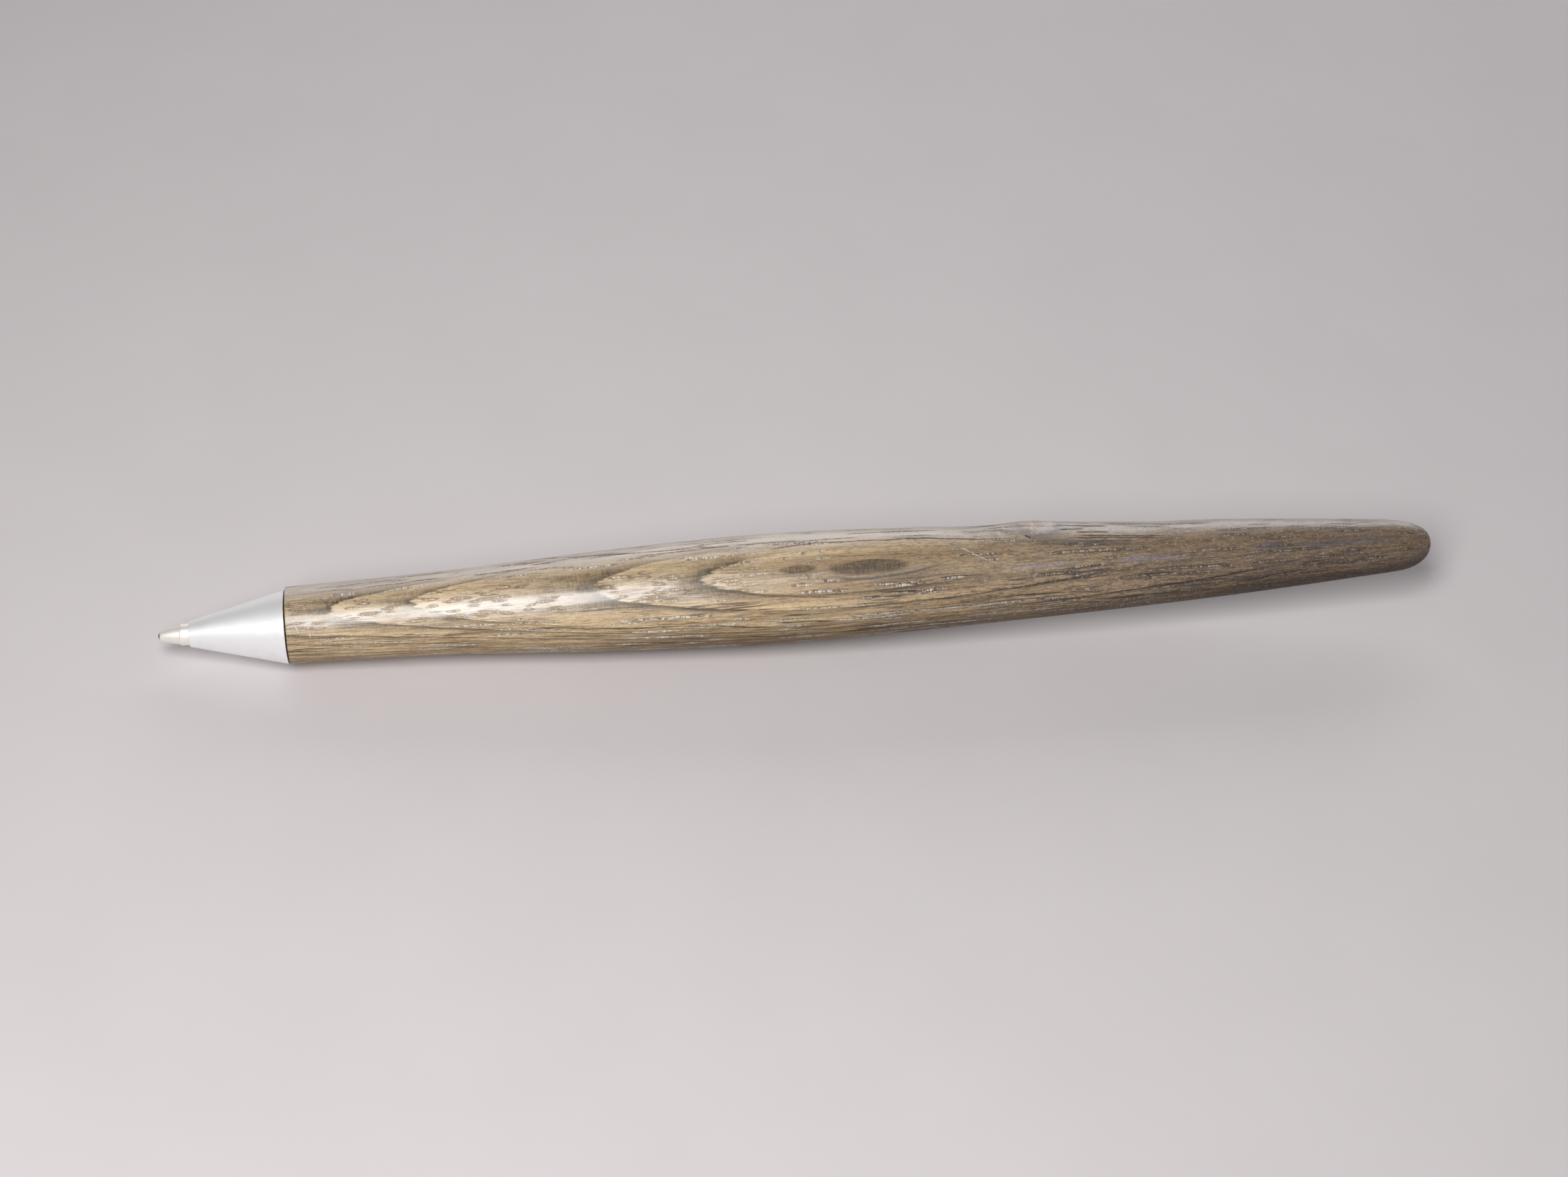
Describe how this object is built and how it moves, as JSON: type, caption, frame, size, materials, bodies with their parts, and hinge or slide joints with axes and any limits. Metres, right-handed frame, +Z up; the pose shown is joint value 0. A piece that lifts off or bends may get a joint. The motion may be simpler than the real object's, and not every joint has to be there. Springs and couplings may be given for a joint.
{
  "type": "wooden ballpoint pen",
  "caption": "Carved wooden ballpoint pen with a swelling barrel, a rounded tail and a satin metal nose cone that unscrews to change the slim refill.",
  "frame": {"origin": "on the table, under the middle of the lying pen's box", "axes": "+X along the pen from the writing point to the tail, +Z up from the table, the flat under the belly faces -Z"},
  "size_m": [0.1418, 0.0124, 0.0127],
  "materials": {
    "carved_wood": "satin",
    "satin_steel": "satin",
    "nickel_silver": "polished",
    "hard_ball": "polished",
    "turned_brass": "satin",
    "spring_wire": "polished",
    "black_rubber": "matte",
    "milky_plastic": "satin",
    "red_plastic": "satin",
    "ink_paste": "gloss"
  },
  "bodies": {
    "barrel": {"barrel": "carved_wood", "threaded_bush": "turned_brass", "spring_seat": "turned_brass", "thrust_spring": "spring_wire"},
    "refill": {"tip_socket": "nickel_silver", "ink_tube": "milky_plastic", "ink_column": "ink_paste", "tail_plug": "red_plastic"},
    "ball": {"writing_ball": "hard_ball"},
    "seal": {"seal_ring": "black_rubber"},
    "nose": {"nose_cone": "satin_steel"}
  },
  "joints": [
    {"name": "refill_give", "type": "slide", "parent": "barrel", "child": "refill", "axis": [0.9996, 0, 0.0277], "range_m": [0, 0.0006], "stiffness_N_per_m": 1300, "deforming": ["thrust_spring"]},
    {"name": "ball_roll", "type": "hinge", "parent": "refill", "child": "ball", "pos_m": [-0.07035, 0.00038, 0.00372], "axis": [0, 1, 0], "continuous": true},
    {"name": "nose_advance", "type": "slide", "parent": "barrel", "child": "seal", "axis": [-0.9996, 0, -0.0277], "range_m": [0, 0.006]},
    {"name": "nose_unscrew", "type": "hinge", "parent": "seal", "child": "nose", "pos_m": [-0.05667, 0.00038, 0.0041], "axis": [-0.9996, 0, -0.0277], "range_deg": [0, 2880]}
  ],
  "couplings": [
    {"joint": "nose_unscrew", "follows": "nose_advance", "rad_per_m": 8377.6}
  ]
}
